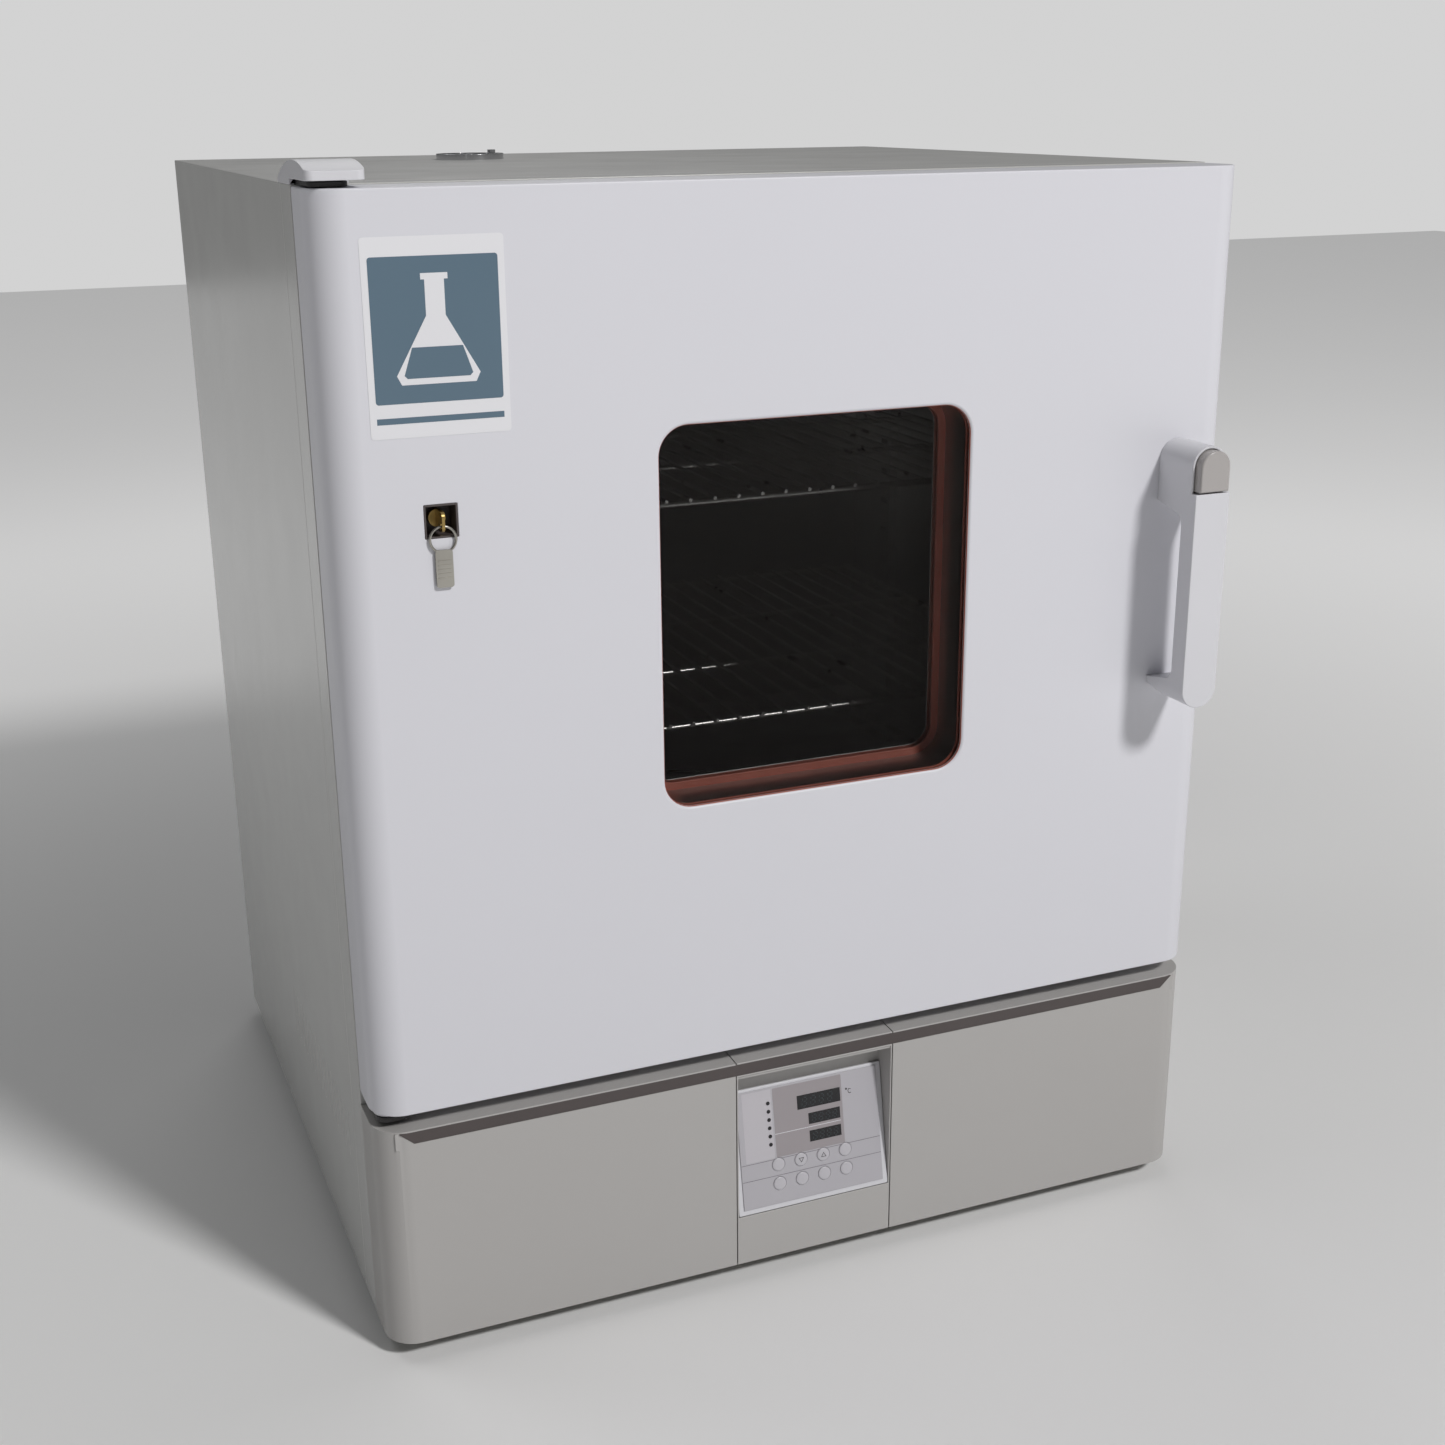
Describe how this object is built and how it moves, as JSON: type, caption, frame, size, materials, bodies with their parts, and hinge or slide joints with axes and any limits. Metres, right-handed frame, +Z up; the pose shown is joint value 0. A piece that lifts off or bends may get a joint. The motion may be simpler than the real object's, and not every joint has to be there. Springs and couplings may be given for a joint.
{
  "type": "laboratory oven",
  "caption": "Bench-top forced-convection laboratory oven or incubator with a windowed side-hinged door, sloping control panel, wire shelves and roof exhaust port.",
  "frame": {"origin": "on the floor, at the centre of the footprint, handle and cable gland included", "axes": "+X to the right seen from the front, +Y towards the back, +Z up"},
  "size_m": [0.71, 0.717, 0.886],
  "materials": {
    "panel_paint": "near-white baked enamel",
    "fascia_paint": "grey baked enamel",
    "door_paint": "white textured baked enamel",
    "stainless": "brushed stainless sheet",
    "plated_steel": "zinc-plated steel",
    "mineral_wool": "bonded mineral wool",
    "silicone": "red-brown silicone",
    "pane_glass": "tempered glass",
    "white_plastic": "satin white moulding",
    "grey_plastic": "satin grey moulding",
    "dark_plastic": "dark brown-grey moulding",
    "overlay_film": "printed silver-grey film",
    "dark_lens": "dark display lens",
    "chrome": "polished",
    "brass": "worn",
    "foot_rubber": "black rubber",
    "circuit_board": "green board",
    "motor_paint": "dark motor paint",
    "heater_sheath": "heat-blued sheath",
    "aluminium": "cast and machined"
  },
  "bodies": {
    "cabinet": {"side_panel_left": "panel_paint", "side_panel_right": "panel_paint", "top_panel": "panel_paint", "rear_panel": "panel_paint", "base_plate": "plated_steel", "equipment_deck": "plated_steel", "front_frame": "panel_paint", "fascia_left": "fascia_paint", "fascia_right": "fascia_paint", "fascia_centre": "fascia_paint", "fascia_trim": "dark_plastic", "control_bezel": "white_plastic", "control_overlay": "overlay_film", "display_windows": "dark_lens", "control_board": "circuit_board", "chamber_liner": "stainless", "insulation_slabs": "mineral_wool", "shelf_posts": "stainless", "shelf_brackets": "stainless", "floor_baffle": "stainless", "heater_elements": "heater_sheath", "fan_motor": "motor_paint", "vent_ports": "chrome", "sensor_probes": "stainless", "breaker": "dark_plastic", "cable_gland": "dark_plastic", "terminal_block": "dark_plastic", "hinge_brackets": "plated_steel", "hinge_cover": "white_plastic", "latch_keeper": "plated_steel", "feet": "foot_rubber", "screws": "plated_steel"},
    "door": {"door_shell": "door_paint", "door_liner": "stainless", "door_insulation": "mineral_wool", "door_gasket": "silicone", "window_panes": "pane_glass", "window_seal": "silicone", "window_frame": "stainless", "handle_body": "white_plastic", "key_switch": "dark_plastic", "hinge_bushes": "white_plastic"},
    "thumb_button": {"handle_button": "grey_plastic"},
    "latch": {"latch_hook": "plated_steel"},
    "lock_key": {"switch_key": "brass"},
    "ring_and_spare_key": {"key_ring": "plated_steel"},
    "fan": {"fan_wheel": "aluminium", "fan_shaft": "plated_steel"},
    "shelf_lower": {"shelf_lower": "stainless"},
    "shelf_upper": {"shelf_upper": "stainless"},
    "damper": {"vent_damper": "chrome"},
    "breaker_lever": {"breaker_toggle": "dark_plastic"},
    "key_upper_1": {"key_upper_1": "overlay_film"},
    "key_upper_2": {"key_upper_2": "overlay_film"},
    "key_upper_3": {"key_upper_3": "overlay_film"},
    "key_upper_4": {"key_upper_4": "overlay_film"},
    "key_lower_1": {"key_lower_1": "overlay_film"},
    "key_lower_2": {"key_lower_2": "overlay_film"},
    "key_lower_3": {"key_lower_3": "overlay_film"},
    "key_lower_4": {"key_lower_4": "overlay_film"}
  },
  "joints": [
    {"name": "door_hinge", "type": "hinge", "parent": "cabinet", "child": "door", "pos_m": [-0.341, -0.2865, 0.5625], "axis": [0, 0, -1], "range_deg": [0, 150]},
    {"name": "thumb_button_push", "type": "slide", "parent": "door", "child": "thumb_button", "axis": [0, 1, 0], "range_m": [0, 0.005], "stiffness_N_per_m": 500},
    {"name": "latch_lift", "type": "slide", "parent": "door", "child": "latch", "axis": [0, 0, 1], "range_m": [0, 0.007]},
    {"name": "lock_key_turn", "type": "hinge", "parent": "door", "child": "lock_key", "pos_m": [-0.2805, -0.3065, 0.6525], "axis": [0, 1, 0], "range_deg": [0, 90]},
    {"name": "key_ring_swing", "type": "hinge", "parent": "lock_key", "child": "ring_and_spare_key", "pos_m": [-0.2805, -0.3085, 0.6493], "axis": [0, 1, 0], "range_deg": [-15, 15]},
    {"name": "fan_spin", "type": "hinge", "parent": "cabinet", "child": "fan", "pos_m": [0, -0.0025, 0.26], "axis": [0, 0, 1], "continuous": true},
    {"name": "shelf_lower_slide", "type": "slide", "parent": "cabinet", "child": "shelf_lower", "axis": [0, -1, 0], "range_m": [0, 0.045]},
    {"name": "shelf_upper_slide", "type": "slide", "parent": "cabinet", "child": "shelf_upper", "axis": [0, -1, 0], "range_m": [0, 0.045]},
    {"name": "damper_turn", "type": "hinge", "parent": "cabinet", "child": "damper", "pos_m": [-0.115, 0.1935, 0.8725], "axis": [0, 0, 1], "range_deg": [0, 90]},
    {"name": "breaker_switch", "type": "hinge", "parent": "cabinet", "child": "breaker_lever", "pos_m": [0.345, -0.1757, 0.074], "axis": [0, 1, 0], "range_deg": [0, 50]},
    {"name": "key_upper_1_press", "type": "slide", "parent": "cabinet", "child": "key_upper_1", "axis": [0, 0.9836, -0.1805], "range_m": [0, 0.0004], "stiffness_N_per_m": 1500},
    {"name": "key_upper_2_press", "type": "slide", "parent": "cabinet", "child": "key_upper_2", "axis": [0, 0.9836, -0.1805], "range_m": [0, 0.0004], "stiffness_N_per_m": 1500},
    {"name": "key_upper_3_press", "type": "slide", "parent": "cabinet", "child": "key_upper_3", "axis": [0, 0.9836, -0.1805], "range_m": [0, 0.0004], "stiffness_N_per_m": 1500},
    {"name": "key_upper_4_press", "type": "slide", "parent": "cabinet", "child": "key_upper_4", "axis": [0, 0.9836, -0.1805], "range_m": [0, 0.0004], "stiffness_N_per_m": 1500},
    {"name": "key_lower_1_press", "type": "slide", "parent": "cabinet", "child": "key_lower_1", "axis": [0, 0.9836, -0.1805], "range_m": [0, 0.0004], "stiffness_N_per_m": 1500},
    {"name": "key_lower_2_press", "type": "slide", "parent": "cabinet", "child": "key_lower_2", "axis": [0, 0.9836, -0.1805], "range_m": [0, 0.0004], "stiffness_N_per_m": 1500},
    {"name": "key_lower_3_press", "type": "slide", "parent": "cabinet", "child": "key_lower_3", "axis": [0, 0.9836, -0.1805], "range_m": [0, 0.0004], "stiffness_N_per_m": 1500},
    {"name": "key_lower_4_press", "type": "slide", "parent": "cabinet", "child": "key_lower_4", "axis": [0, 0.9836, -0.1805], "range_m": [0, 0.0004], "stiffness_N_per_m": 1500}
  ],
  "couplings": [
    {"joint": "latch_lift", "follows": "thumb_button_push", "ratio": 1.4}
  ]
}
